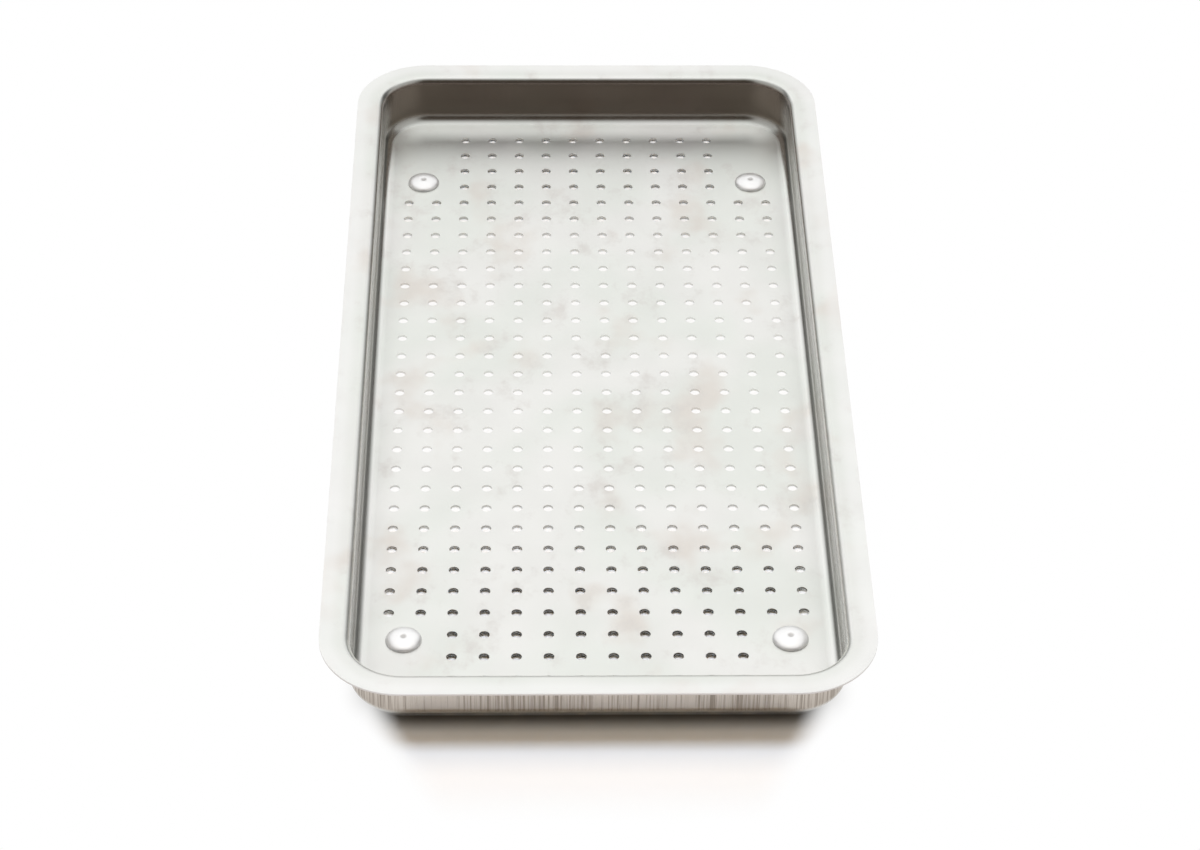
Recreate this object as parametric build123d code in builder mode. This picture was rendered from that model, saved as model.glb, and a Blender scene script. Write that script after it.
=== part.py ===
"""Perforated stainless-steel instrument tray on four riveted feet.

+X runs across the tray, +Y along its length towards the back end, +Z up. The origin is the
centre of the tray's footprint, on the plane that its feet stand on. Millimetres.
"""
from build123d import *
import os

# --- drawn shell --------------------------------------------------------------------------
sheet = 0.8  # thickness of the sheet everywhere
inner_width = 143.2  # between the inside faces of the two long walls
inner_length = 304.2  # between the inside faces of the two end walls
inner_depth = 17.8  # from the floor's top face to the flange's top face
wall_corner_radius = 15.5  # plan radius of the inside faces of the walls
floor_bend = 4.0  # inside radius between floor and wall
rim_bend = 2.8  # radius on top where the wall turns out into the flange
flange_reach = 8.9  # from the inside face of a wall to the edge of the flange
flange_corner_radius = 24.0  # plan radius of the flange's corners
edge_round = 0.2  # tumbled edge round the flange

# --- hole field ---------------------------------------------------------------------------
hole_diameter = 3.2
hole_pitch = 9.525  # the same both ways
hole_land = 0.3  # least flat floor between a hole's edge and the floor bend
hole_field_shift = 3.3  # the field lies this much nearer the front end
corner_columns = 2  # columns left solid in each corner of the field
corner_rows = 4  # rows left solid in each corner of the field

# --- rivets and feet ----------------------------------------------------------------------
rivet_row = 2.75  # pitches from the end row of holes to the rivets
shank_diameter = 4.8
shank_clearance = 0.05  # round the shank, in the pan and in the foot
head_diameter = 10.8
head_height = 1.9
head_edge = 0.5  # straight side of the head below its crown
head_round = 0.8  # between the crown and the straight side
mark_diameter = 2.2  # setting mark in the middle of the crown
mark_depth = 0.3
tail_diameter = 7.2  # upset tail below the foot's web
tail_height = 1.2
tail_round = 0.3
foot_diameter = 12.7
foot_height = 3.4
foot_round = 0.5
recess_clearance = 0.5  # round the tail, in the foot's recess
tail_setback = 0.6  # from the tail up out of the foot's standing plane

# --- worked out from the sizes above ------------------------------------------------------
outer_width = inner_width + 2 * sheet
outer_length = inner_length + 2 * sheet
tray_width = inner_width + 2 * flange_reach
tray_length = inner_length + 2 * flange_reach

floor_underside = foot_height
floor_top = floor_underside + sheet
flange_top = floor_top + inner_depth
flange_underside = flange_top - sheet

hole_margin = floor_bend + hole_land + hole_diameter / 2  # from a wall to a hole's centre
hole_columns = int((inner_width - 2 * hole_margin) // hole_pitch) + 1
hole_rows = int((inner_length - 2 * (hole_margin + hole_field_shift)) // hole_pitch) + 1

rivet_x = (hole_columns - corner_columns) / 2 * hole_pitch
rivet_y = ((hole_rows - 1) / 2 - rivet_row) * hole_pitch
corners = {
    "front_left": (-rivet_x, -rivet_y - hole_field_shift),
    "front_right": (rivet_x, -rivet_y - hole_field_shift),
    "back_left": (-rivet_x, rivet_y - hole_field_shift),
    "back_right": (rivet_x, rivet_y - hole_field_shift),
}

shank_hole_radius = shank_diameter / 2 + shank_clearance
recess_depth = tail_height + tail_setback
grip = sheet + foot_height - recess_depth  # what each rivet clamps: pan floor and foot web

height_tolerance = 0.001  # for finding faces and edges by their height


def hole_centres():
    """Centres of the punched holes: a square field with its four corners left solid."""
    centres = []
    for row in range(hole_rows):
        end_row = min(row, hole_rows - 1 - row) < corner_rows
        for column in range(hole_columns):
            side_column = min(column, hole_columns - 1 - column) < corner_columns
            if end_row and side_column:
                continue
            x = (column - (hole_columns - 1) / 2) * hole_pitch
            y = (row - (hole_rows - 1) / 2) * hole_pitch - hole_field_shift
            centres.append((x, y))
    return centres


def faces_at(builder, height):
    """The horizontal faces of a part that lie at one height."""
    flat_faces = builder.faces().filter_by(Plane.XY)
    return flat_faces.filter_by_position(Axis.Z, height - height_tolerance, height + height_tolerance)


# --- the pan: floor, walls and flange drawn from one sheet --------------------------------
with BuildPart() as cavity:
    with BuildSketch(Plane.XY.offset(floor_top)):
        RectangleRounded(inner_width, inner_length, wall_corner_radius)
    extrude(amount=inner_depth)
    fillet(faces_at(cavity, floor_top).edges(), floor_bend)

with BuildPart() as tray_pan:
    with BuildSketch(Plane.XY.offset(floor_underside)):
        RectangleRounded(outer_width, outer_length, wall_corner_radius + sheet)
    extrude(amount=flange_top - floor_underside)
    fillet(faces_at(tray_pan, floor_underside).edges(), floor_bend + sheet)

    with BuildSketch(Plane.XY.offset(flange_underside)):
        RectangleRounded(tray_width, tray_length, flange_corner_radius)
    extrude(amount=sheet)
    under_rim = faces_at(tray_pan, flange_underside)[0].inner_wires()[0]
    fillet(under_rim.edges(), rim_bend - sheet)
    flange_edges = [faces_at(tray_pan, height)[0].outer_wire().edges()
                    for height in (flange_top, flange_underside)]
    fillet(flange_edges[0] + flange_edges[1], edge_round)

    add(cavity.part, mode=Mode.SUBTRACT)
    over_rim = faces_at(tray_pan, flange_top)[0].inner_wires()[0]
    fillet(over_rim.edges(), rim_bend)

    with BuildSketch(Plane.XY.offset(floor_underside)):
        with Locations(*hole_centres()):
            Circle(hole_diameter / 2)
        with Locations(*corners.values()):
            Circle(shank_hole_radius)
    extrude(amount=sheet, mode=Mode.SUBTRACT)


# --- rivets: domed head on the floor, shank through pan and foot, tail in the foot --------
def make_rivet(x, y):
    """One rivet, revolved about its own upright axis."""
    radius_of_head = head_diameter / 2
    crown_rise = head_height - head_edge
    crown_radius = (radius_of_head**2 + crown_rise**2) / (2 * crown_rise)
    crown_centre = head_height - crown_radius

    def crown(distance):
        return (distance, crown_centre + (crown_radius**2 - distance**2) ** 0.5)

    mark_edge = crown(mark_diameter / 2)
    upright = Plane(origin=(x, y, floor_top), x_dir=(1, 0, 0), z_dir=(0, -1, 0))
    with BuildPart() as rivet:
        with BuildSketch(upright):
            with BuildLine():
                Line((0, head_height - mark_depth), mark_edge)
                ThreePointArc(mark_edge, crown(radius_of_head / 2), crown(radius_of_head))
                Polyline(
                    (radius_of_head, head_edge),
                    (radius_of_head, 0),
                    (shank_diameter / 2, 0),
                    (shank_diameter / 2, -grip),
                    (tail_diameter / 2, -grip),
                    (tail_diameter / 2, -grip - tail_height),
                    (0, -grip - tail_height),
                    (0, head_height - mark_depth),
                )
            make_face()
        revolve(axis=Axis((x, y, 0), (0, 0, 1)))
        crown_foot = floor_top + head_edge
        circles = rivet.edges().filter_by(GeomType.CIRCLE)
        crown_edge = circles.filter_by_position(
            Axis.Z, crown_foot - height_tolerance, crown_foot + height_tolerance
        )
        fillet(crown_edge, head_round)
        fillet(rivet.faces().sort_by(Axis.Z)[0].edges(), tail_round)
    return rivet


# --- feet: round stand-offs, each recessed below for its rivet's tail ---------------------
def make_foot(x, y):
    """One foot, standing on the origin's plane with its top against the pan's floor."""
    with BuildPart() as foot:
        with BuildSketch(Plane((x, y, 0))):
            Circle(foot_diameter / 2)
        extrude(amount=foot_height)
        fillet(foot.edges().sort_by(Axis.Z)[0], foot_round)
        with Locations(Plane(origin=(x, y, 0), z_dir=(0, 0, -1))):
            CounterBoreHole(shank_hole_radius, tail_diameter / 2 + recess_clearance, recess_depth)
    return foot


def save(piece, name):
    """Label a finished piece and write it as one STEP file."""
    piece.part.label = name
    export_step(piece.part, f"parts/{name}.step")


os.makedirs("parts", exist_ok=True)
save(tray_pan, "tray_pan")
for corner, (x, y) in corners.items():
    save(make_rivet(x, y), f"rivet_{corner}")
    save(make_foot(x, y), f"foot_{corner}")

print(f"overall {tray_width:.1f} x {tray_length:.1f} x {flange_top:.1f} mm, "
      f"{len(hole_centres())} holes in {hole_columns} columns and {hole_rows} rows")
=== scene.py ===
"""Looks of a perforated stainless-steel instrument tray, laid out as a Blender add-on.

Metres. +X runs across the tray, +Y along it towards the back end, +Z up, and the four feet
stand on Z = 0. Run as a script, it builds every piece once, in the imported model's own frame.
"""

import math

import bmesh
import bpy
from bpy.props import FloatProperty, FloatVectorProperty, IntProperty, PointerProperty
from mathutils import Euler, Matrix, Vector


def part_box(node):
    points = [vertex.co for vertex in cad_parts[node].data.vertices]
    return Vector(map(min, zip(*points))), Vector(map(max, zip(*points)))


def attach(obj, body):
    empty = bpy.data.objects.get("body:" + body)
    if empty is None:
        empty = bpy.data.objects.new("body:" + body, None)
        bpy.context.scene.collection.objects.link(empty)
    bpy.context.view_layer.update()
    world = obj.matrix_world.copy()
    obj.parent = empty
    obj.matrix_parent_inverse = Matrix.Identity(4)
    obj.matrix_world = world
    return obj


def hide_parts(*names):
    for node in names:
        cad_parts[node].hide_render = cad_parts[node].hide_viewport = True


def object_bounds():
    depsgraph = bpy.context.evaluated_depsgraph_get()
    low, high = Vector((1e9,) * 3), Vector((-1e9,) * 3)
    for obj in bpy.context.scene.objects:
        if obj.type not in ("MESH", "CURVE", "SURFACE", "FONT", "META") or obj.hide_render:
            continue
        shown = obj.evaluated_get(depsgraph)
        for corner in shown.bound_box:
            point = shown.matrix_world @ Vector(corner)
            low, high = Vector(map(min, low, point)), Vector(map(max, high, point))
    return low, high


bl_info = {
    "name": "Instrument Tray",
    "version": (1, 0, 0),
    "blender": (4, 5, 0),
    "location": "View3D > Sidebar > Tray",
    "description": "Builds a perforated steel instrument tray and a plain studio round it",
    "category": "Add Mesh",
}

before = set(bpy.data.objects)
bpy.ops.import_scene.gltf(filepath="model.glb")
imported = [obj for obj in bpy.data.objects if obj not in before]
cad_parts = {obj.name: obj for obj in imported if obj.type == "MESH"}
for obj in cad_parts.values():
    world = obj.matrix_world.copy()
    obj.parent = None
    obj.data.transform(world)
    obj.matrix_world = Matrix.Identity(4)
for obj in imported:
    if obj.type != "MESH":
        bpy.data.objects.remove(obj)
cad_low, cad_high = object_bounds()
pan_low, pan_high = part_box("tray_pan")

CORNERS = ("front_left", "front_right", "back_left", "back_right")

SHARP_EDGE = math.radians(50)  # edges that turn by more than this are rounded
MERGE_DISTANCE = 1e-6  # vertices nearer than this, in metres, are one
TURNED_STEPS = 64  # faces round a turned piece
CROWN_STEPS = 14  # faces from a rivet's crown to its edge
CROWN_FULLNESS = 0.8  # power of a cosine: below 1 the shoulder is fuller than an ellipse


def length(name, description, default):
    """A length property, in metres."""
    return FloatProperty(
        name=name, description=description, default=default, min=0.0, precision=5, unit="LENGTH"
    )


def colour(name, description, default):
    """A colour property with values from 0 to 1."""
    return FloatVectorProperty(
        name=name, description=description, default=default, min=0.0, max=1.0, subtype="COLOR"
    )


def share(name, description, default, highest=1.0):
    """A plain number, such as a share, a strength or a roughness."""
    return FloatProperty(
        name=name, description=description, default=default, min=0.0, max=highest, precision=3
    )


def power(name, description, default):
    """The power of a light, in watts."""
    return FloatProperty(
        name=name, description=description, default=default, min=0.0, unit="POWER"
    )


# --- settings -----------------------------------------------------------------------------
class PanSizes(bpy.types.PropertyGroup):
    """Sizes of the drawn shell that its box doesn't give."""

    sheet: length("Sheet", "Thickness of the sheet", 0.0008)
    flange_reach: length("Flange reach", "From a wall's inside face to the flange's edge", 0.0089)
    floor_bend: length("Floor bend", "Inside radius between floor and wall", 0.0040)
    rim_bend: length("Rim bend", "Radius on top between wall and flange", 0.0028)
    wall_corner: length("Wall corner", "Plan radius of the walls' inside faces", 0.0155)
    flange_corner: length("Flange corner", "Plan radius of the flange's edge", 0.024)
    edge_round: length("Edge round", "Rounding of the flange's and holes' edges", 0.00024)
    hold: length("Hold", "Width of the flat strips beside each bend", 0.00003)
    bend_steps: IntProperty(
        name="Bend steps", description="Faces across a bend", default=10, min=2
    )
    corner_steps: IntProperty(
        name="Corner steps", description="Faces round a corner", default=14, min=3
    )


class HoleSizes(bpy.types.PropertyGroup):
    """Sizes of the punched hole field."""

    diameter: length("Diameter", "Diameter of a hole", 0.0032)
    pitch: length("Pitch", "Distance between holes, both ways", 0.009525)
    shift: length("Shift", "How much nearer the front end the field lies", 0.0033)
    columns: IntProperty(name="Columns", description="Holes across the tray", default=14)
    rows: IntProperty(name="Rows", description="Holes along the tray", default=31)
    corner_columns: IntProperty(
        name="Corner columns", description="Columns left solid in each corner", default=2
    )
    corner_rows: IntProperty(
        name="Corner rows", description="Rows left solid in each corner", default=4
    )
    sides: IntProperty(
        name="Sides", description="Flats round a hole, a multiple of eight", default=16
    )
    margin: length("Margin", "Least distance from the field's cells to the floor bend", 0.00005)


class RivetSizes(bpy.types.PropertyGroup):
    """Sizes of a rivet that its box doesn't give."""

    shank_diameter: length("Shank", "Diameter of the shank", 0.0048)
    tail_diameter: length("Tail", "Diameter of the upset tail", 0.0072)
    tail_height: length("Tail height", "Height of the upset tail", 0.0012)
    mark_diameter: length("Mark", "Diameter of the setting mark", 0.0022)
    mark_depth: length("Mark depth", "Depth of the setting mark", 0.0003)
    edge_round: length("Edge round", "Rounding of the edges", 0.0002)


class FootSizes(bpy.types.PropertyGroup):
    """Sizes of a foot that its box doesn't give."""

    bore_diameter: length("Bore", "Diameter of the bore round the shank", 0.0049)
    recess_diameter: length("Recess", "Diameter of the recess round the tail", 0.0082)
    recess_depth: length("Recess depth", "Depth of the recess", 0.0018)
    edge_round: length("Edge round", "Rounding of the edges", 0.0003)


class SteelFinish(bpy.types.PropertyGroup):
    """Colours of the steel, of what has marked it, and of light and shade painted on it."""

    sheet: colour("Sheet", "Satin stainless sheet", (0.85, 0.85, 0.825))
    sheet_cool: colour("Cool tint", "Broad cool areas of the sheet", (0.815, 0.835, 0.795))
    stain: colour("Stain", "Faint water and heat stains", (0.755, 0.71, 0.66))
    smudge: colour("Smudge", "Greyer handling marks on the sheet", (0.70, 0.675, 0.645))
    drawn: colour("Drawn walls", "Outside of the walls, dulled by drawing", (0.67, 0.61, 0.55))
    # Painted shade: a dark colour on the inside of the end walls.
    punched: colour("Punched ends", "Inside of the dulled end walls", (0.31, 0.26, 0.225))
    # Painted shade: a darker colour on the flange's cut edge.
    edge: colour("Cut edges", "Cut edge of the flange and walls of the holes", (0.60, 0.56, 0.54))
    # Painted sheen: a light colour on the inside of the long walls.
    wear_and_sheen: colour("Rubbed sides", "Inside of the long walls", (0.95, 0.95, 0.93))
    # Painted highlight: a paler colour on the outer part of the flange's top.
    polished: colour("Polished rim", "Outer part of the flange's top", (0.95, 0.95, 0.94))
    # Painted shade: dark lines along the bends of the long walls.
    bend_shade: colour("Crease", "Dark lines along the long walls", (0.20, 0.20, 0.19))
    # Also the colour of the painted shade that darkens the walls towards the floor.
    streak_and_shade: colour("Streak", "Dark draw marks down the walls", (0.29, 0.25, 0.21))
    rivet: colour("Rivet", "Burnished rivet heads", (0.95, 0.955, 0.955))
    mark: colour("Mark", "Setting mark in a rivet's crown", (0.58, 0.57, 0.56))
    # Painted shade: a dark colour on the walls of the holes.
    hole: colour("Hole", "Dull walls of the punched holes", (0.10, 0.09, 0.08))
    foot: colour("Foot", "Turned feet", (0.62, 0.615, 0.60))
    satin: share("Satin", "How metallic the satin floor and flange are", 0.90)
    roughness: share("Roughness", "Roughness of the satin sheet", 0.42)
    wall_roughness: share("Wall roughness", "Roughness of the drawn walls", 0.20)
    haze: share("Haze", "How much less metallic the long walls are inside", 0.5)
    stained: share("Stained", "How strongly the stains show", 0.8)
    smudged: share("Smudged", "How strongly the handling marks show", 0.7)
    inner_marks: share("Inner marks", "How strongly the draw marks show inside", 0.3)
    upper_bend_shade: share("Upper crease", "Strength of the upper dark line", 0.5)
    rim_highlight_share: share("Rim polish", "How polished the flange's outer part is", 0.5)
    dish: share("Dish", "Slope shaded into the floor before the end walls", 0.45)
    rivet_metal: share("Rivet metal", "How metallic the burnished rivets are", 0.75)


class Studio(bpy.types.PropertyGroup):
    """The camera, the light and the floor."""

    lens: FloatProperty(name="Lens", description="Focal length", default=98.55, unit="CAMERA")
    distance: length("Distance", "From the camera to the point it looks at", 1.0472)
    elevation: FloatProperty(
        name="Elevation",
        description="Angle of the camera above the horizon",
        default=math.radians(39.4),
        subtype="ANGLE",
    )
    turn: FloatProperty(
        name="Turn",
        description="Angle of the view to the right of the tray's length",
        default=math.radians(1.39),
        subtype="ANGLE",
    )
    roll: FloatProperty(
        name="Roll",
        description="Angle of the camera about its own line of sight",
        default=math.radians(0.76),
        subtype="ANGLE",
    )
    aim: FloatVectorProperty(
        name="Aim",
        description="Point the camera looks at",
        default=(0.0024, -0.0201, 0.0042),
        subtype="TRANSLATION",
    )
    floor: colour("Floor", "Colour of the table", (0.93, 0.917, 0.907))
    # Painted shadow: the table's dark colour close under the tray's edge.
    under: colour("Under", "Colour of the table's sheet close under the tray", (0.16, 0.13, 0.10))
    rise: length("Rise", "How far the table's sheet rises under the tray", 0.0033)
    rise_front: length("Rise front", "How far in front of the middle that rise starts", 0.125)
    rise_back: length("Rise back", "How far behind the middle it starts to fall again", 0.035)
    rise_slope: length("Rise slope", "Length over which it comes to its full height", 0.090)
    back_fall: share("Back fall", "Share of the rise that is lost towards the back", 0.5)
    edge_rise: length("Edge rise", "Rise of the sheet below the outer holes", 0.0020)
    edge_width: length("Edge width", "Half width of the sheet's lifted part", 0.074)
    edge_length: length("Edge length", "Half length of the sheet's lifted part", 0.154)
    edge_slope: length("Edge slope", "Width over which the lifted part's edge rises", 0.010)
    # Painted light: the sheet below the holes glows white.
    hole_glow: share("Lit", "Light that comes up through the sheet below the holes", 0.6)
    bright: share("Bright", "What steel reflects from the white sweep behind and above", 1.12, 2.0)
    skyline: share("Skyline", "Share of that light that is left at the horizon", 0.30)
    gap: colour("Gap", "What steel reflects from beside the sweep", (0.09, 0.088, 0.085))
    side: colour("Sides", "What steel reflects from the sides", (0.42, 0.41, 0.40))
    dark: colour("Camera side", "What steel reflects from in front", (0.060, 0.047, 0.036))
    low_light: colour("Low light", "Light that comes low over the table", (0.03, 0.02, 0.012))
    panel: colour("Panel", "Colour of the wide panel above", (1.0, 0.82, 0.62))
    panel_power: power("Panel power", "Power of the wide panel above", 5.7)
    panel_size: length("Panel size", "Each side of the wide panel", 0.87)
    lamp: colour("Lamp", "Colour of the narrow lamp above", (0.60, 0.78, 1.0))
    lamp_power: power("Lamp power", "Power of the narrow lamp above", 3.9)
    lamp_width: length("Lamp width", "Across the tray", 0.5)
    lamp_length: length("Lamp length", "Along the tray", 0.2)
    light_height: length("Light height", "Panel and lamp above the table", 0.8)
    light_front: length("Light front", "Panel and lamp in front of the tray's middle", 0.20)


# --- mesh helpers -------------------------------------------------------------------------
def new_piece(name, bm, material, replaced):
    """Turns a bmesh into a smooth-shaded piece that rides on the tray."""
    mesh = bpy.data.meshes.new(name)
    bm.to_mesh(mesh)
    bm.free()
    mesh.shade_smooth()
    mesh.materials.append(material)
    piece = bpy.data.objects.new(name, mesh)
    bpy.context.scene.collection.objects.link(piece)
    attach(piece, "root")
    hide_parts(replaced)
    return piece


def new_verts(result):
    """The vertices among what an operator made."""
    return [item for item in result["geom"] if isinstance(item, bmesh.types.BMVert)]


def arc(steps, first=0):
    """Angles that divide a quarter turn into equal steps."""
    return [math.pi / 2 * step / steps for step in range(first, steps + 1)]


def round_edges(piece, width, segments):
    """Rounds the sharp edges of a piece."""
    bevel = piece.modifiers.new("Rounded edges", "BEVEL")
    bevel.width = width
    bevel.segments = segments
    bevel.limit_method = "ANGLE"
    bevel.angle_limit = SHARP_EDGE
    bevel.harden_normals = True


# --- the pan ------------------------------------------------------------------------------
def punch_field(bm, holes, limit_x, limit_y):
    """The floor round the holes: one square cell with its hole, repeated over the field."""
    half = holes.pitch / 2
    ring = bmesh.ops.create_circle(bm, segments=holes.sides, radius=holes.diameter / 2)["verts"]
    square = bmesh.ops.create_circle(bm, segments=holes.sides, radius=half)["verts"]
    for vert in square:
        vert.co *= half / max(abs(vert.co.x), abs(vert.co.y))
    bmesh.ops.bridge_loops(bm, edges=bm.edges[:])
    first_cell = bm.verts[:] + bm.edges[:] + bm.faces[:]

    for row in range(holes.rows):
        end_row = min(row, holes.rows - 1 - row) < holes.corner_rows
        for column in range(holes.columns):
            side_column = min(column, holes.columns - 1 - column) < holes.corner_columns
            if end_row and side_column:
                continue
            x = (column - (holes.columns - 1) / 2) * holes.pitch
            y = (row - (holes.rows - 1) / 2) * holes.pitch - holes.shift
            cell = bmesh.ops.duplicate(bm, geom=first_cell)
            bmesh.ops.translate(bm, verts=new_verts(cell), vec=(x, y, 0.0))
    bmesh.ops.delete(bm, geom=ring + square, context="VERTS")
    for vert in bm.verts:
        vert.co.x = max(-limit_x, min(limit_x, vert.co.x))
        vert.co.y = max(-limit_y, min(limit_y, vert.co.y))
    bmesh.ops.remove_doubles(bm, verts=bm.verts, dist=MERGE_DISTANCE)


def rounded_outline(bm, half_x, half_y, radius, steps):
    """A closed loop of edges round a rectangle with rounded corners."""
    plate = bmesh.ops.create_grid(bm, x_segments=1, y_segments=1, size=1.0)["verts"]
    bmesh.ops.scale(bm, vec=(half_x, half_y, 1.0), verts=plate)
    bmesh.ops.bevel(
        bm, geom=plate, offset=radius, segments=steps, affect="VERTICES", profile=0.5, material=-1
    )
    face = max(bm.faces, key=lambda face: face.calc_area())
    edges = face.edges[:]
    bmesh.ops.delete(bm, geom=[face], context="FACES_ONLY")
    return edges


def draw_out(bm, edges, old_core, new_core, radius, height):
    """Extrudes a loop of edges out to the next outline, keeping each corner's directions."""
    verts = new_verts(bmesh.ops.extrude_edge_only(bm, edges=edges))
    for vert in verts:
        signs = Vector((math.copysign(1, vert.co.x), math.copysign(1, vert.co.y)))
        outward = (vert.co.xy - signs * old_core).normalized()
        place = signs * new_core + outward * radius
        vert.co = (place.x, place.y, height)
    return list({edge for vert in verts for edge in vert.link_edges if edge.is_boundary})


def build_pan_mesh(sizes, holes):
    """The inside face of the pan: punched floor, bends, walls and flange."""
    floor = pan_low.z + sizes.sheet
    depth = pan_high.z - floor
    half_tray = pan_high.xy
    half_wall = half_tray - Vector((sizes.flange_reach,) * 2)
    half_flat = half_wall - Vector((sizes.floor_bend + sizes.hold,) * 2)

    bm = bmesh.new()
    punch_field(bm, holes, half_flat.x - holes.margin, half_flat.y - holes.margin)
    shortest_side = holes.diameter / 4
    field_edge = [e for e in bm.edges if e.is_boundary and e.calc_length() > shortest_side]
    flat_radius = sizes.wall_corner - sizes.floor_bend - sizes.hold
    loop = rounded_outline(bm, half_flat.x, half_flat.y, flat_radius, sizes.corner_steps)
    bmesh.ops.triangle_fill(bm, edges=field_edge + loop, use_beauty=True)
    bmesh.ops.translate(bm, verts=bm.verts, vec=(0.0, 0.0, floor))

    wall_profile = [(-sizes.floor_bend, 0.0)]
    for angle in arc(sizes.bend_steps, first=1):
        across = sizes.floor_bend * (math.sin(angle) - 1)
        wall_profile.append((across, sizes.floor_bend * (1 - math.cos(angle))))
    wall_profile.append((0.0, sizes.floor_bend + sizes.hold))
    wall_profile.append((0.0, depth - sizes.rim_bend - sizes.hold))
    for angle in arc(sizes.bend_steps):
        across = sizes.rim_bend * (1 - math.cos(angle))
        wall_profile.append((across, depth - sizes.rim_bend * (1 - math.sin(angle))))
    wall_profile.append((sizes.rim_bend + sizes.hold, depth))

    wall_core = half_wall - Vector((sizes.wall_corner,) * 2)
    flange_core = half_tray - Vector((sizes.flange_corner,) * 2)
    for across, up in wall_profile:
        loop = draw_out(bm, loop, wall_core, wall_core, sizes.wall_corner + across, floor + up)
    draw_out(bm, loop, wall_core, flange_core, sizes.flange_corner, pan_high.z)

    bmesh.ops.recalc_face_normals(bm, faces=bm.faces)
    bm.faces.ensure_lookup_table()
    if bm.faces[0].normal.z < 0:
        bmesh.ops.reverse_faces(bm, faces=bm.faces)
    return bm


class TRAY_OT_build_pan(bpy.types.Operator):
    """Builds the pan: one sheet drawn to a shallow shell, with its flange and punched floor"""

    bl_idname = "tray.build_pan"
    bl_label = "Pan"

    def execute(self, context):
        settings = context.scene.tray
        bm = build_pan_mesh(settings.pan, settings.holes)
        material = sheet_steel(settings.finish)
        pan = new_piece("pan", bm, material, "tray_pan")
        wall = pan.modifiers.new("Sheet", "SOLIDIFY")
        wall.thickness = settings.pan.sheet
        wall.offset = -1.0
        wall.use_even_offset = True
        wall.use_quality_normals = True
        round_edges(pan, settings.pan.edge_round, 1)
        return {"FINISHED"}


# --- turned pieces ------------------------------------------------------------------------
def turned(profile, centre):
    """Spins a profile of (radius, height) points about an upright axis."""
    bm = bmesh.new()
    verts = [bm.verts.new((centre.x + radius, centre.y, height)) for radius, height in profile]
    edges = [bm.edges.new(pair) for pair in zip(verts, verts[1:])]
    bmesh.ops.spin(
        bm,
        geom=verts + edges,
        cent=(centre.x, centre.y, 0.0),
        axis=(0.0, 0.0, 1.0),
        angle=math.tau,
        steps=TURNED_STEPS,
        use_merge=True,
    )
    bmesh.ops.remove_doubles(bm, verts=bm.verts, dist=MERGE_DISTANCE)
    bmesh.ops.recalc_face_normals(bm, faces=bm.faces)
    return bm


def rivet_profile(sizes, low, high):
    """A rivet from the middle of its crown down to the middle of its tail."""
    head_radius = (high.x - low.x) / 2
    seat = pan_low.z + bpy.context.scene.tray.pan.sheet
    rise = high.z - seat
    mark = sizes.mark_diameter / 2
    points = [(0.0, high.z - sizes.mark_depth), (mark * 0.5, high.z - sizes.mark_depth * 0.8)]
    for angle in arc(CROWN_STEPS):
        across = head_radius * math.sin(angle)
        if across > mark:
            points.append((across, seat + rise * math.cos(angle) ** CROWN_FULLNESS))
    shank = sizes.shank_diameter / 2
    tail = sizes.tail_diameter / 2
    tail_top = low.z + sizes.tail_height
    points += [(shank, seat), (shank, tail_top), (tail, tail_top), (tail, low.z), (0.0, low.z)]
    return points


class TRAY_OT_build_rivets(bpy.types.Operator):
    """Builds the four rivets, each with a domed head, a shank and an upset tail"""

    bl_idname = "tray.build_rivets"
    bl_label = "Rivets"

    def execute(self, context):
        settings = context.scene.tray
        material = rivet_steel(settings.finish)
        for corner in CORNERS:
            node = f"rivet_{corner}"
            low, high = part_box(node)
            bm = turned(rivet_profile(settings.rivet, low, high), (low + high) / 2)
            piece = new_piece(f"domed_{node}", bm, material, node)
            round_edges(piece, settings.rivet.edge_round, 2)
        return {"FINISHED"}


class TRAY_OT_build_feet(bpy.types.Operator):
    """Builds the four feet, each a turned ring with a recess for its rivet's tail"""

    bl_idname = "tray.build_feet"
    bl_label = "Feet"

    def execute(self, context):
        settings = context.scene.tray
        sizes = settings.foot
        material = foot_steel(settings.finish)
        for corner in CORNERS:
            node = f"foot_{corner}"
            low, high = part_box(node)
            radius = (high.x - low.x) / 2
            bore = sizes.bore_diameter / 2
            recess = sizes.recess_diameter / 2
            web = low.z + sizes.recess_depth
            profile = [
                (bore, high.z),
                (radius, high.z),
                (radius, low.z),
                (recess, low.z),
                (recess, web),
                (bore, web),
                (bore, high.z),
            ]
            bm = turned(profile, (low + high) / 2)
            piece = new_piece(f"turned_{node}", bm, material, node)
            round_edges(piece, sizes.edge_round, 3)
        return {"FINISHED"}


# --- materials ----------------------------------------------------------------------------
# Where one finish gives way to the next, in metres. Two distances are where the change starts
# and ends. Four are where a band starts, is full, starts to fade and has gone.
WALL_FOOT = (0.0010, 0.0035)  # above the floor: satin floor to drawn wall
WALL_HEAD = (-0.0018, -0.0008)  # from the flange's top: drawn wall to satin flange
BEND_FOOT = (0.00003, 0.0004)  # above the floor: satin to the polish of the bends and walls
BEND_HEAD = (-0.0004, -0.00003)  # from the flange's top: that polish to satin
# Painted shade: the walls' colour darkens from head to foot.
WALL_SHADE_FOOT, WALL_SHADE_HEAD, WALL_SHADE_DEEPEST = 0.004, -0.003, 0.5  # walls darken by this share from head to foot
SKIN = (0.3, 0.7)  # shares of the sheet's thickness, from its inside face to its outside face
END_WALLS = (-0.014, -0.004)  # how much further out lengthways than sideways
# Painted shade: dark lines along the long walls' floor bend and rim bend.
LOW_BEND_SHADE = (0.0008, 0.0015, 0.0020, 0.0028)  # above the floor
HIGH_BEND_SHADE = (-0.0045, -0.0036, -0.0024, -0.0016)  # from the flange's top
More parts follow.
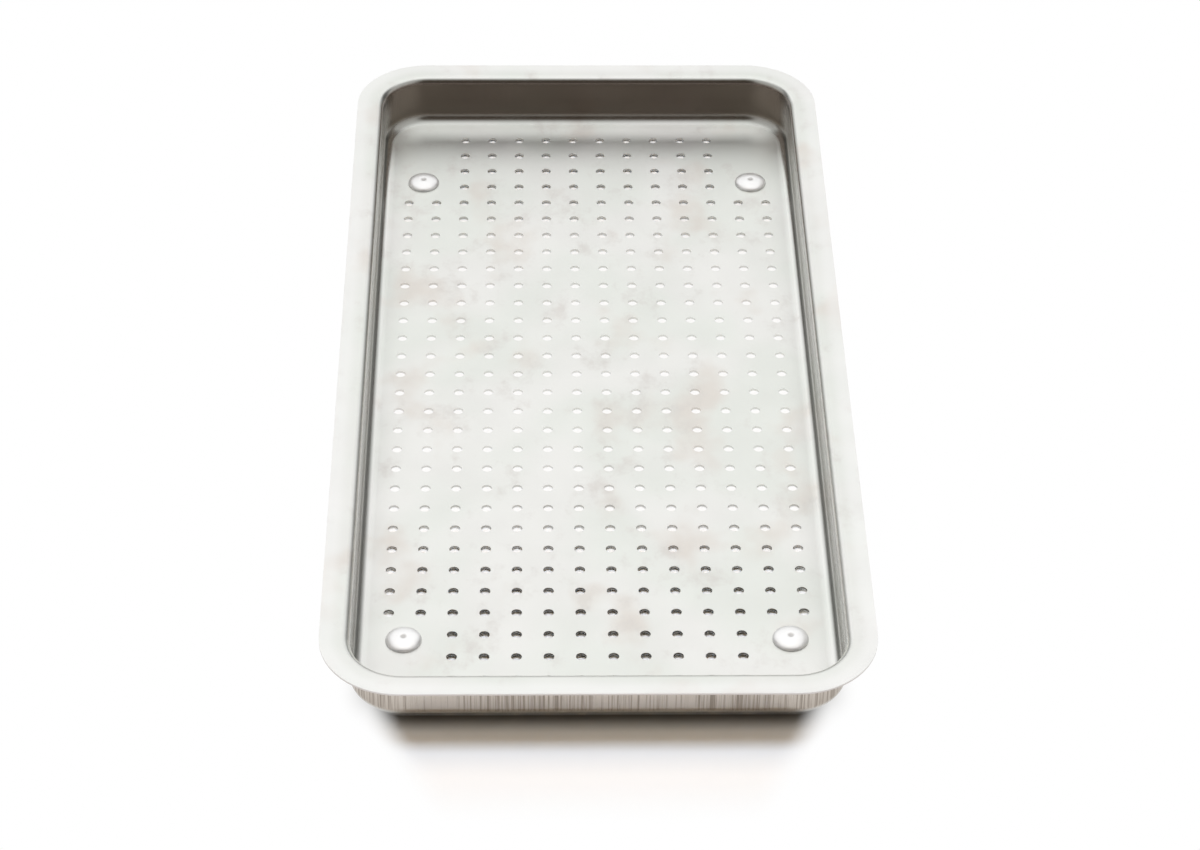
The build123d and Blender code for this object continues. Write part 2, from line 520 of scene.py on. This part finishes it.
# Painted highlight on the outer part of the flange's top.
RIM_HIGHLIGHT = (0.0028, 0.0070)  # past the wall's inside face
RIM_HIGHLIGHT_TOP = (-0.0006, -0.0002)  # from the flange's top
# Painted shade on the flange's cut edge.
CUT_EDGE_SHADE = (-0.0006, -0.0003)  # from the edge of the flange
CUT_SHADE_BELOW = (-0.0004, -0.0001)  # from the flange's top
HOLE_LOW, HOLE_HIGH = (0.00002, 0.0001), (-0.0003, -0.0001)  # from the underside, from the floor
HOLE_FIELD = (-0.0055, -0.0045)  # past the wall's inside face
# Painted shade in the holes: darkest towards the front end, faint in the middle, darker again at
# the back.
HOLE_SHADE_FRONT, HOLE_SHADE_BACK = (-0.115, -0.020), (0.03, 0.14)  # along the tray
HOLE_SHADE_MIDDLE, HOLE_SHADE_MORE = 0.12, 0.35  # how fouled the middle holes are, and the back ones more
DISH_RISE, DISH_END = (-0.0137, -0.0050), (-0.0040, -0.0008)  # past the wall's inside face
DISH_FACING = (0.1, 0.4)  # how much a face looks up before it is shaded as dished

# Which part of a noise pattern shows: from the value where it starts to where it is full.
TINTS, STAINS, SMUDGES = (0.38, 0.62), (0.54, 0.74), (0.52, 0.78)
DRAW_MARKS, DRAW_POLISH = (0.65, 0.86), (0.6, 0.9)
SATIN_CLOUDS, RIVET_WEAR, FOOT_WEAR = (0.3, 0.7), (0.3, 0.7), (0.4, 0.7)
BROAD_MARKS = 0.4  # share of the broad streaks in the draw marks
SATIN_SPREAD, DRAWN_SPREAD = 0.03, 0.06  # how much the roughness varies
RIVET_ROUGHNESS, FOOT_ROUGHNESS = (0.32, 0.40), (0.26, 0.40)
WAVE_DEPTH, GRIT_DEPTH, DRAW_DEPTH = 0.00015, 0.000004, 0.00005  # metres
RIVET_GRIT, TURNING_DEPTH = 0.000002, 0.00001
MARK_EDGE, MARK_RAGGED = (0.0008, 0.0016), 0.0006  # from a rivet's middle, and worn in by


def new_material(name):
    """A node material with its shader, and a coordinate node that reads the piece's own metres."""
    material = bpy.data.materials.new(name)
    material.use_nodes = True
    tree = material.node_tree
    place = tree.nodes.new("ShaderNodeTexCoord")
    return material, tree, tree.nodes["Principled BSDF"], place.outputs["Object"]


def split_axes(tree, vector):
    """The X, Y and Z of a vector."""
    node = tree.nodes.new("ShaderNodeSeparateXYZ")
    tree.links.new(vector, node.inputs[0])
    return node.outputs


def stretched(tree, vector, scale):
    """The coordinates with each axis scaled by itself, which draws a pattern out along one."""
    node = tree.nodes.new("ShaderNodeMapping")
    node.inputs["Scale"].default_value = scale
    tree.links.new(vector, node.inputs["Vector"])
    return node.outputs["Vector"]


def noise(tree, vector, scale, detail=2.0, roughness=0.5):
    """A noise pattern from 0 to 1, with features about 1 / scale metres across."""
    node = tree.nodes.new("ShaderNodeTexNoise")
    node.inputs["Scale"].default_value = scale
    node.inputs["Detail"].default_value = detail
    node.inputs["Roughness"].default_value = roughness
    tree.links.new(vector, node.inputs["Vector"])
    return node.outputs[0]


def ramp(tree, value, low, high, to_low=0.0, to_high=1.0, smooth=True):
    """A value between low and high spread over another range, and held outside it."""
    node = tree.nodes.new("ShaderNodeMapRange")
    node.interpolation_type = "SMOOTHSTEP" if smooth else "LINEAR"
    node.inputs["From Min"].default_value = low
    node.inputs["From Max"].default_value = high
    node.inputs["To Min"].default_value = to_low
    node.inputs["To Max"].default_value = to_high
    tree.links.new(value, node.inputs["Value"])
    return node.outputs["Result"]


def falling(tree, value, low, high):
    """1 up to the low value, 0 from the high one on."""
    return ramp(tree, value, low, high, 1.0, 0.0)


def band(tree, value, low, low_full, high_full, high):
    """1 between two values, fading to 0 outside them."""
    above = ramp(tree, value, low, low_full)
    return times(tree, above, falling(tree, value, high_full, high))


def shifted(start, distances):
    """Distances counted from a starting value."""
    return [start + distance for distance in distances]


def maths(tree, operation, *values):
    """One arithmetic step on sockets or numbers."""
    node = tree.nodes.new("ShaderNodeMath")
    node.operation = operation
    for socket, value in zip(node.inputs, values):
        if isinstance(value, (int, float)):
            socket.default_value = value
        else:
            tree.links.new(value, socket)
    return node.outputs[0]


def times(tree, first, *others):
    """The product of sockets or numbers."""
    for other in others:
        first = maths(tree, "MULTIPLY", first, other)
    return first


def without(tree, share_taken):
    """What a share leaves of the whole."""
    return maths(tree, "SUBTRACT", 1.0, share_taken)


def outline(tree, place, half_x, half_y, radius):
    """An upright rounded rectangle: how far outside it a point lies, and which way out is."""
    past, corner, signed = [], [], tree.nodes.new("ShaderNodeCombineXYZ")
    for axis, half, socket in zip(split_axes(tree, place), (half_x, half_y), signed.inputs):
        past.append(maths(tree, "SUBTRACT", maths(tree, "ABSOLUTE", axis), half - radius))
        corner.append(maths(tree, "MAXIMUM", past[-1], 0.0))
        tree.links.new(times(tree, corner[-1], maths(tree, "SIGN", axis)), socket)
    squared = maths(tree, "MULTIPLY_ADD", corner[0], corner[0], times(tree, corner[1], corner[1]))
    inside = maths(tree, "MINIMUM", maths(tree, "MAXIMUM", *past), 0.0)
    outside = maths(tree, "SUBTRACT", maths(tree, "SQRT", squared), radius)
    outward = vector_maths(tree, "NORMALIZE", signed.outputs[0])
    return maths(tree, "ADD", outside, inside), past, outward


def vector_maths(tree, operation, *values):
    """One step of arithmetic on vectors."""
    node = tree.nodes.new("ShaderNodeVectorMath")
    node.operation = operation
    for value, socket in zip(values, node.inputs):
        tree.links.new(value, socket)
    return node.outputs[0]


def mixed(tree, share_of_second, first, second):
    """One colour turned into another by a mask. Each is a socket or a plain colour."""
    node = tree.nodes.new("ShaderNodeMix")
    node.data_type = "RGBA"
    tree.links.new(share_of_second, node.inputs["Factor"])
    for socket, value in zip(node.inputs[6:8], (first, second)):
        if isinstance(value, bpy.types.NodeSocket):
            tree.links.new(value, socket)
        else:
            socket.default_value = (*value, 1.0)
    return node.outputs[2]


def bumped(tree, height, distance, under=None):
    """A surface raised by a height pattern, on top of an earlier normal if one is given."""
    node = tree.nodes.new("ShaderNodeBump")
    node.inputs["Distance"].default_value = distance
    tree.links.new(height, node.inputs["Height"])
    if under is not None:
        tree.links.new(under, node.inputs["Normal"])
    return node.outputs["Normal"]


def satin_colour(tree, place, finish):
    """The floor and flange: broad cool areas, faint stains and greyer handling marks."""
    tints = ramp(tree, noise(tree, place, scale=26.0), *TINTS)
    steel = mixed(tree, tints, finish.sheet, finish.sheet_cool)
    spots = noise(tree, stretched(tree, place, (1.0, 0.8, 1.0)), scale=42.0, detail=3.0)
    stains = times(tree, ramp(tree, spots, *STAINS), finish.stained)
    steel = mixed(tree, stains, steel, finish.stain)
    touches = stretched(tree, place, (1.0, 0.7, 1.0))
    touches = noise(tree, touches, scale=95.0, detail=4.0, roughness=0.65)
    smudges = times(tree, ramp(tree, touches, *SMUDGES), finish.smudged)
    return mixed(tree, smudges, steel, finish.smudge)


def drawn_colour(tree, wall_foot_shade, marks, outside, endwise, finish):
    """The walls: dull and streaked outside, with painted shade that darkens them towards the
    floor; inside, painted shade on the end walls and a painted sheen on the long walls.
    """
    # Inside, the end walls get painted shade and the long walls a painted sheen.
    punched = mixed(tree, wall_foot_shade, finish.punched, finish.streak_and_shade)
    inner = mixed(tree, endwise, finish.wear_and_sheen, punched)
    inner = mixed(tree, times(tree, marks, finish.inner_marks), inner, finish.streak_and_shade)
    outer = mixed(tree, wall_foot_shade, finish.drawn, finish.streak_and_shade)
    outer = mixed(tree, marks, outer, finish.streak_and_shade)
    return mixed(tree, outside, inner, outer)


def dished_normal(tree, past_wall, outward, endwise, dish):
    """The surface's own normal, tilted inwards on the last of the floor before the end walls."""
    own = tree.nodes.new("ShaderNodeNewGeometry").outputs["Normal"]
    facing_up = ramp(tree, split_axes(tree, own)["Z"], *DISH_FACING)
    slope = ramp(tree, past_wall, *DISH_RISE, smooth=False)
    slope = times(tree, slope, falling(tree, past_wall, *DISH_END), facing_up, endwise, -dish)
    return vector_maths(tree, "NORMALIZE", vector_maths(tree, "MULTIPLY_ADD", outward, slope, own))


def sheet_steel(finish):
    """Satin stainless sheet: faint tints and stains on the floor, draw marks down the walls."""
    material, tree, shader, place = new_material("satin_sheet_steel")
    sizes = bpy.context.scene.tray.pan
    floor, top = pan_low.z + sizes.sheet, pan_high.z
    _, along, height = split_axes(tree, place)
    half_wall = pan_high.xy - Vector((sizes.flange_reach,) * 2)
    past_wall, (past_side, past_end), outward = outline(
        tree, place, half_wall.x, half_wall.y, sizes.wall_corner
    )

    above_floor = ramp(tree, height, *shifted(floor, WALL_FOOT))
    wall = times(tree, above_floor, falling(tree, height, *shifted(top, WALL_HEAD)))
    past_flat = ramp(tree, height, *shifted(floor, BEND_FOOT))
    curved = times(tree, past_flat, falling(tree, height, *shifted(top, BEND_HEAD)))
    outside = ramp(tree, past_wall, *(sizes.sheet * part for part in SKIN))
    endwise = ramp(tree, maths(tree, "SUBTRACT", past_end, past_side), *END_WALLS)
    sideways = without(tree, endwise)
    # Painted shade: the walls darker towards the floor.
    wall_foot_shade = ramp(tree, height, floor + WALL_SHADE_FOOT, top + WALL_SHADE_HEAD, WALL_SHADE_DEEPEST, 0.0, smooth=False)

    grain = stretched(tree, place, (1.0, 1.0, 0.012))
    fine = noise(tree, grain, scale=1500.0, detail=4.0, roughness=0.75)
    broad = noise(tree, stretched(tree, place, (1.0, 1.0, 0.1)), scale=55.0)
    streaks = maths(tree, "MULTIPLY_ADD", broad, BROAD_MARKS, fine)
    marks = ramp(tree, streaks, *DRAW_MARKS)

    # Painted shade along the long walls' bends.
    low_bend_shade = band(tree, height, *shifted(floor, LOW_BEND_SHADE))
    high_bend_shade = band(tree, height, *shifted(top, HIGH_BEND_SHADE))
    bend_shades = maths(tree, "MULTIPLY_ADD", high_bend_shade, finish.upper_bend_shade, low_bend_shade)
    bend_shades = times(tree, bend_shades, sideways)
    # Painted highlight on the flange's outer part.
    rim = ramp(tree, past_wall, *RIM_HIGHLIGHT)
    rim = times(tree, rim, ramp(tree, height, *shifted(top, RIM_HIGHLIGHT_TOP)), finish.rim_highlight_share)
    # Painted shade on the flange's cut edge.
    cut_edge_shade = ramp(tree, past_wall, *shifted(sizes.flange_reach, CUT_EDGE_SHADE))
    cut_edge_shade = times(tree, cut_edge_shade, falling(tree, height, *shifted(top, CUT_SHADE_BELOW)))
    in_holes = band(tree, height, *shifted(pan_low.z, HOLE_LOW), *shifted(floor, HOLE_HIGH))
    # Painted shade in the holes: darkest towards the front end, faint in the middle, darker again
    # at the back.
    hole_shade = ramp(tree, along, *HOLE_SHADE_FRONT, 1.0, HOLE_SHADE_MIDDLE)
    more = ramp(tree, along, *HOLE_SHADE_BACK, 0.0, HOLE_SHADE_MORE)
    hole_shade = maths(tree, "ADD", hole_shade, more)
    hole_shade = times(tree, in_holes, falling(tree, past_wall, *HOLE_FIELD), hole_shade)

    steel = mixed(tree, rim, satin_colour(tree, place, finish), finish.polished)
    drawn = drawn_colour(tree, wall_foot_shade, marks, outside, endwise, finish)
    steel = mixed(tree, wall, steel, drawn)
    steel = mixed(tree, bend_shades, steel, finish.bend_shade)
    steel = mixed(tree, cut_edge_shade, steel, finish.edge)
    steel = mixed(tree, hole_shade, steel, finish.hole)
    tree.links.new(steel, shader.inputs["Base Color"])

    clouds = noise(tree, place, scale=60.0, detail=3.0)
    range_of_satin = shifted(finish.roughness, (-SATIN_SPREAD, SATIN_SPREAD))
    satin_rough = ramp(tree, clouds, *SATIN_CLOUDS, *range_of_satin)
    range_of_walls = shifted(finish.wall_roughness, (0.0, DRAWN_SPREAD))
    wall_rough = ramp(tree, streaks, *DRAW_POLISH, *range_of_walls)
    roughness = tree.nodes.new("ShaderNodeMix")
    for socket, value in zip((0, 2, 3), (curved, satin_rough, wall_rough)):
        tree.links.new(value, roughness.inputs[socket])
    tree.links.new(roughness.outputs[0], shader.inputs["Roughness"])
    long_wall = times(tree, wall, sideways, without(tree, outside), finish.haze)
    metallic = maths(tree, "SUBTRACT", ramp(tree, curved, 0.0, 1.0, finish.satin, 1.0), long_wall)
    tree.links.new(metallic, shader.inputs["Metallic"])

    normal = dished_normal(tree, past_wall, outward, endwise, finish.dish)
    normal = bumped(tree, noise(tree, place, scale=30.0, detail=1.0), WAVE_DEPTH, normal)
    normal = bumped(tree, noise(tree, place, scale=2600.0), GRIT_DEPTH, normal)
    normal = bumped(tree, times(tree, fine, wall), DRAW_DEPTH, normal)
    tree.links.new(normal, shader.inputs["Normal"])
    return material


def rivet_steel(finish):
    """Burnished steel, brighter than the sheet, with a dull setting mark in the crown."""
    material, tree, shader, place = new_material("burnished_rivet_steel")
    shader.inputs["Metallic"].default_value = finish.rivet_metal
    x, y, _ = split_axes(tree, place)
    front, back = (sum(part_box(f"rivet_{end}_right"), Vector()) / 2 for end in ("front", "back"))
    middle, half_row = (front.y + back.y) / 2, (back.y - front.y) / 2
    sideways = maths(tree, "SUBTRACT", maths(tree, "ABSOLUTE", x), front.x)
    lengthways = maths(tree, "ABSOLUTE", maths(tree, "SUBTRACT", y, middle))
    lengthways = maths(tree, "SUBTRACT", lengthways, half_row)
    lengthways = times(tree, lengthways, lengthways)
    across = maths(tree, "SQRT", maths(tree, "MULTIPLY_ADD", sideways, sideways, lengthways))
    worn = noise(tree, place, scale=700.0)
    mark = falling(tree, maths(tree, "MULTIPLY_ADD", worn, MARK_RAGGED, across), *MARK_EDGE)
    tree.links.new(mixed(tree, mark, finish.rivet, finish.mark), shader.inputs["Base Color"])
    tree.links.new(ramp(tree, worn, *RIVET_WEAR, *RIVET_ROUGHNESS), shader.inputs["Roughness"])
    tree.links.new(bumped(tree, worn, RIVET_GRIT), shader.inputs["Normal"])
    return material


def foot_steel(finish):
    """Turned steel, a little darker and duller where it rubs on shelves."""
    material, tree, shader, place = new_material("turned_foot_steel")
    shader.inputs["Metallic"].default_value = 1.0
    turning = noise(tree, stretched(tree, place, (1.0, 1.0, 14.0)), scale=500.0)
    wear_and_sheen = ramp(tree, noise(tree, place, scale=300.0, detail=3.0), *FOOT_WEAR)
    tree.links.new(mixed(tree, wear_and_sheen, finish.foot, finish.streak_and_shade), shader.inputs["Base Color"])
    tree.links.new(ramp(tree, wear_and_sheen, 0.0, 1.0, *FOOT_ROUGHNESS), shader.inputs["Roughness"])
    tree.links.new(bumped(tree, turning, TURNING_DEPTH), shader.inputs["Normal"])
    return material


# --- the studio ---------------------------------------------------------------------------
# Angles in degrees, from where a part of the room starts to show to where it shows fully.
SWEEP_TURN = 6  # the sweep's middle, to the left of the tray's length
SWEEP_EDGE = (60, 30)  # off that middle
SIDES_EDGE = (62, 80)  # off the tray's length
OVERHEAD, OVERHEAD_EDGE = 70, (50, 12)  # above the horizon behind, and off that
CAMERA_SIDE, CAMERA_SIDE_EDGE = 34, (32, 10)  # above the horizon in front, and off that
FULL_SKY = 0.52  # sine of the elevation at which the sweep has its full light
LEAST_LEVEL = 0.01  # keeps a bearing finite straight above

# Where the table changes round the tray, in metres past the flange's edge.
TABLE_FADE = (0.008, 0.030)  # to plain white
SIDE_LEAD, SIDE_GAIN = (-0.014, 0.012), 0.034  # it fades this much sooner beside the long sides
# Painted shadow: the table is coloured dark below the tray's edge.
DARK_EDGE = (-0.0135, -0.0060)  # out of the dark below the flange
FIELD_EDGE = (-0.0140, -0.0120)  # out of the pale sheet below the holes
# Painted light: the raised sheet glows white here, seen through the holes.
GLOW_HEIGHT = (0.0026, 0.0033)  # above the table's level: where light comes up through the sheet
SHEET_GRID, SHEET_SIZE = (64, 128), (0.16, 0.32)  # faces and metres of the sheet, both ways
TABLE_RINGS = (0.5, 4.0)  # radii round the sheet


def cosines(*degrees):
    """The cosines of angles in degrees."""
    return [math.cos(math.radians(angle)) for angle in degrees]


def shader_mixed(tree, share_of_second, first, second):
    """One shader turned into another by a mask."""
    node = tree.nodes.new("ShaderNodeMixShader")
    for value, socket in zip((share_of_second, first, second), node.inputs):
        tree.links.new(value, socket)
    return node.outputs[0]


def build_world(studio):
    """White to the camera. To the steel, a white sweep behind, pale sides and a dim front."""
    world = bpy.data.worlds.new("studio")
    bpy.context.scene.world = world
    world.use_nodes = True
    tree = world.node_tree
    tree.nodes.clear()
    place = tree.nodes.new("ShaderNodeTexCoord").outputs["Generated"]
    across, along, up = split_axes(tree, place)

    def nearness(ahead, elevation, edge):
        """1 near a direction that looks ahead or back, 0 well away from it."""
        dot = tree.nodes.new("ShaderNodeVectorMath")
        dot.operation = "DOT_PRODUCT"
        tree.links.new(place, dot.inputs[0])
        angle = math.radians(elevation)
        dot.inputs[1].default_value = (0.0, ahead * math.cos(angle), math.sin(angle))
        return ramp(tree, dot.outputs["Value"], *cosines(*edge))

    level = maths(tree, "SQRT", without(tree, times(tree, up, up)))
    level = maths(tree, "MAXIMUM", level, LEAST_LEVEL)
    turn = math.radians(SWEEP_TURN)
    turned_along = times(tree, along, math.cos(turn))
    turned_along = maths(tree, "MULTIPLY_ADD", across, -math.sin(turn), turned_along)
    behind = ramp(tree, maths(tree, "DIVIDE", turned_along, level), *cosines(*SWEEP_EDGE))
    behind = times(tree, behind, ramp(tree, up, 0.0, FULL_SKY, studio.skyline, 1.0))
    sweep = maths(tree, "MAXIMUM", behind, nearness(1.0, OVERHEAD, OVERHEAD_EDGE))
    beside = ramp(tree, maths(tree, "DIVIDE", along, level), *cosines(*SIDES_EDGE))
    room = mixed(tree, beside, studio.gap, studio.side)
    camera_side = nearness(-1.0, CAMERA_SIDE, CAMERA_SIDE_EDGE)
    room = mixed(tree, camera_side, room, studio.dark)
    reflected = mixed(tree, sweep, room, (studio.bright,) * 3)

    backgrounds = []
    for light in (studio.low_light, reflected, (1.0, 1.0, 1.0)):
        background = tree.nodes.new("ShaderNodeBackground")
        if isinstance(light, bpy.types.NodeSocket):
            tree.links.new(light, background.inputs["Color"])
        else:
            background.inputs["Color"].default_value = (*light, 1.0)
        backgrounds.append(background.outputs[0])
    rays = tree.nodes.new("ShaderNodeLightPath").outputs
    low_light, reflected, white = backgrounds
    seen = shader_mixed(tree, rays["Is Glossy Ray"], low_light, reflected)
    seen = shader_mixed(tree, rays["Is Camera Ray"], seen, white)
    tree.links.new(seen, tree.nodes.new("ShaderNodeOutputWorld").inputs["Surface"])


def build_light(name, studio, tint, watts, width, depth):
    """A rectangular light straight above the tray's front. The steel shows the world instead."""
    data = bpy.data.lights.new(name, "AREA")
    data.shape = "RECTANGLE"
    data.size, data.size_y = width, depth
    data.energy = watts
    data.color = tint
    light = bpy.data.objects.new(name, data)
    light.location = (0.0, -studio.light_front, studio.light_height)
    light.visible_glossy = False
    bpy.context.scene.collection.objects.link(light)


def eased(value):
    """A share from 0 to 1 with a gentle start and end, held outside them."""
    value = min(max(value, 0.0), 1.0)
    return value * value * (3 - 2 * value)


def build_table_mesh(studio):
    """A flat table whose middle, a soft sheet, rises a little between the tray's feet."""
    bm = bmesh.new()
    bmesh.ops.create_grid(bm, x_segments=SHEET_GRID[0], y_segments=SHEET_GRID[1], size=0.5)
    bmesh.ops.scale(bm, vec=(*SHEET_SIZE, 1.0), verts=bm.verts)
    for vert in bm.verts:
        crown = eased((vert.co.y + studio.rise_front) / studio.rise_slope)
        crown *= 1 - studio.back_fall * eased((vert.co.y - studio.rise_back) / studio.rise_slope)
        inward = min(studio.edge_width - abs(vert.co.x), studio.edge_length - abs(vert.co.y))
        edge = eased(inward / studio.edge_slope)
        vert.co.z = studio.edge_rise * edge + (studio.rise - studio.edge_rise) * crown * edge
    rim = [edge for edge in bm.edges if edge.is_boundary]
    for reach in TABLE_RINGS:
        outer = new_verts(bmesh.ops.extrude_edge_only(bm, edges=rim))
        for vert in outer:
            vert.co.xy = vert.co.xy * (reach / vert.co.xy.length)
        rim = list({edge for vert in outer for edge in vert.link_edges if edge.is_boundary})
    bmesh.ops.recalc_face_normals(bm, faces=bm.faces)
    return bm


def table_white(studio):
    """A pale table that keeps the tray's shadow, with a painted shadow below the tray's edge and a
    painted glow below the holes, and fades to plain white away from it.
    """
    material, tree, shader, place = new_material("table_white")
    shader.inputs["Roughness"].default_value = 1.0
    shader.inputs["Specular IOR Level"].default_value = 0.0
    corner = bpy.context.scene.tray.pan.flange_corner
    past, (past_side, _), _ = outline(tree, place, cad_high.x, cad_high.y, corner)
    sooner = ramp(tree, past_side, *SIDE_LEAD, 0.0, SIDE_GAIN)
    fade = ramp(tree, maths(tree, "ADD", past, sooner), *TABLE_FADE)
    # Painted shadow: dark colour on the table below the tray's edge.
    below_field = falling(tree, past, *FIELD_EDGE)
    pale = maths(tree, "MAXIMUM", ramp(tree, past, *DARK_EDGE), below_field)
    tree.links.new(mixed(tree, pale, studio.under, studio.floor), shader.inputs["Base Color"])
    # Painted light: the raised sheet below the holes glows.
    hole_glow = ramp(tree, split_axes(tree, place)["Z"], *GLOW_HEIGHT, 0.0, studio.hole_glow)
    white = tree.nodes.new("ShaderNodeEmission").outputs[0]
    glowing = maths(tree, "MAXIMUM", fade, times(tree, hole_glow, below_field))
    surface = shader_mixed(tree, glowing, shader.outputs[0], white)
    tree.links.new(surface, tree.nodes["Material Output"].inputs["Surface"])
    return material


def build_floor(studio):
    """The table that the tray stands on, which is no part of the tray."""
    bm = build_table_mesh(studio)
    mesh = bpy.data.meshes.new("table")
    bm.to_mesh(mesh)
    bm.free()
    mesh.shade_smooth()
    mesh.materials.append(table_white(studio))
    table = bpy.data.objects.new("table", mesh)
    bpy.context.scene.collection.objects.link(table)


def build_camera(studio):
    """A long lens on the tray's front end, looking down along it."""
    data = bpy.data.cameras.new("camera")
    data.lens = studio.lens
    data.clip_start, data.clip_end = 0.05, 20.0
    camera = bpy.data.objects.new("camera", data)
    tilt = Euler((math.pi / 2 - studio.elevation, 0.0, -studio.turn)).to_matrix()
    turned_view = tilt @ Matrix.Rotation(studio.roll, 3, "Z")
    back = turned_view @ Vector((0.0, 0.0, 1.0))
    camera.matrix_world = Matrix.Translation(Vector(studio.aim) + back * studio.distance) @ (
        turned_view.to_4x4()
    )
    bpy.context.scene.collection.objects.link(camera)
    bpy.context.scene.camera = camera


class TRAY_OT_build_stage(bpy.types.Operator):
    """Builds the camera, the light and the table that the tray stands on"""

    bl_idname = "tray.build_stage"
    bl_label = "Stage"

    def execute(self, context):
        studio = context.scene.tray.studio
        build_camera(studio)
        build_world(studio)
        size = studio.panel_size
        build_light("wide_panel", studio, studio.panel, studio.panel_power, size, size)
        size = (studio.lamp_width, studio.lamp_length)
        build_light("narrow_lamp", studio, studio.lamp, studio.lamp_power, *size)
        build_floor(studio)
        context.scene.view_settings.view_transform = "Standard"
        return {"FINISHED"}


# --- add-on -------------------------------------------------------------------------------
class TraySettings(bpy.types.PropertyGroup):
    """Everything a user of the tray may change."""

    pan: PointerProperty(type=PanSizes, name="Pan", description="Sizes of the pan")
    holes: PointerProperty(type=HoleSizes, name="Holes", description="Sizes of the hole field")
    rivet: PointerProperty(type=RivetSizes, name="Rivets", description="Sizes of the rivets")
    foot: PointerProperty(type=FootSizes, name="Feet", description="Sizes of the feet")
    finish: PointerProperty(type=SteelFinish, name="Finish", description="Colours of the steel")
    studio: PointerProperty(type=Studio, name="Studio", description="Camera, light and floor")


class TRAY_PT_pieces(bpy.types.Panel):
    """Lists the tray's pieces and their settings"""

    bl_label = "Instrument Tray"
    bl_idname = "TRAY_PT_pieces"
    bl_space_type = "VIEW_3D"
    bl_region_type = "UI"
    bl_category = "Tray"

    def draw(self, context):
        settings = context.scene.tray
        rows = (
            (TRAY_OT_build_stage, settings.studio),
            (TRAY_OT_build_pan, settings.pan, settings.holes, settings.finish),
            (TRAY_OT_build_rivets, settings.rivet),
            (TRAY_OT_build_feet, settings.foot),
        )
        for operator, *groups in rows:
            box = self.layout.box()
            box.operator(operator.bl_idname)
            for group in groups:
                for name in group.__annotations__:
                    box.prop(group, name)


CLASSES = (
    PanSizes,
    HoleSizes,
    RivetSizes,
    FootSizes,
    SteelFinish,
    Studio,
    TraySettings,
    TRAY_OT_build_stage,
    TRAY_OT_build_pan,
    TRAY_OT_build_rivets,
    TRAY_OT_build_feet,
    TRAY_PT_pieces,
)


def register():
    """Adds the tray's settings, operators and panel."""
    for cls in CLASSES:
        bpy.utils.register_class(cls)
    bpy.types.Scene.tray = PointerProperty(type=TraySettings)


def unregister():
    """Takes them away again."""
    del bpy.types.Scene.tray
    for cls in reversed(CLASSES):
        bpy.utils.unregister_class(cls)


def main():
    """Builds the whole scene."""
    register()
    bpy.ops.tray.build_stage()
    bpy.ops.tray.build_pan()
    bpy.ops.tray.build_rivets()
    bpy.ops.tray.build_feet()


if __name__ == "__main__":
    main()
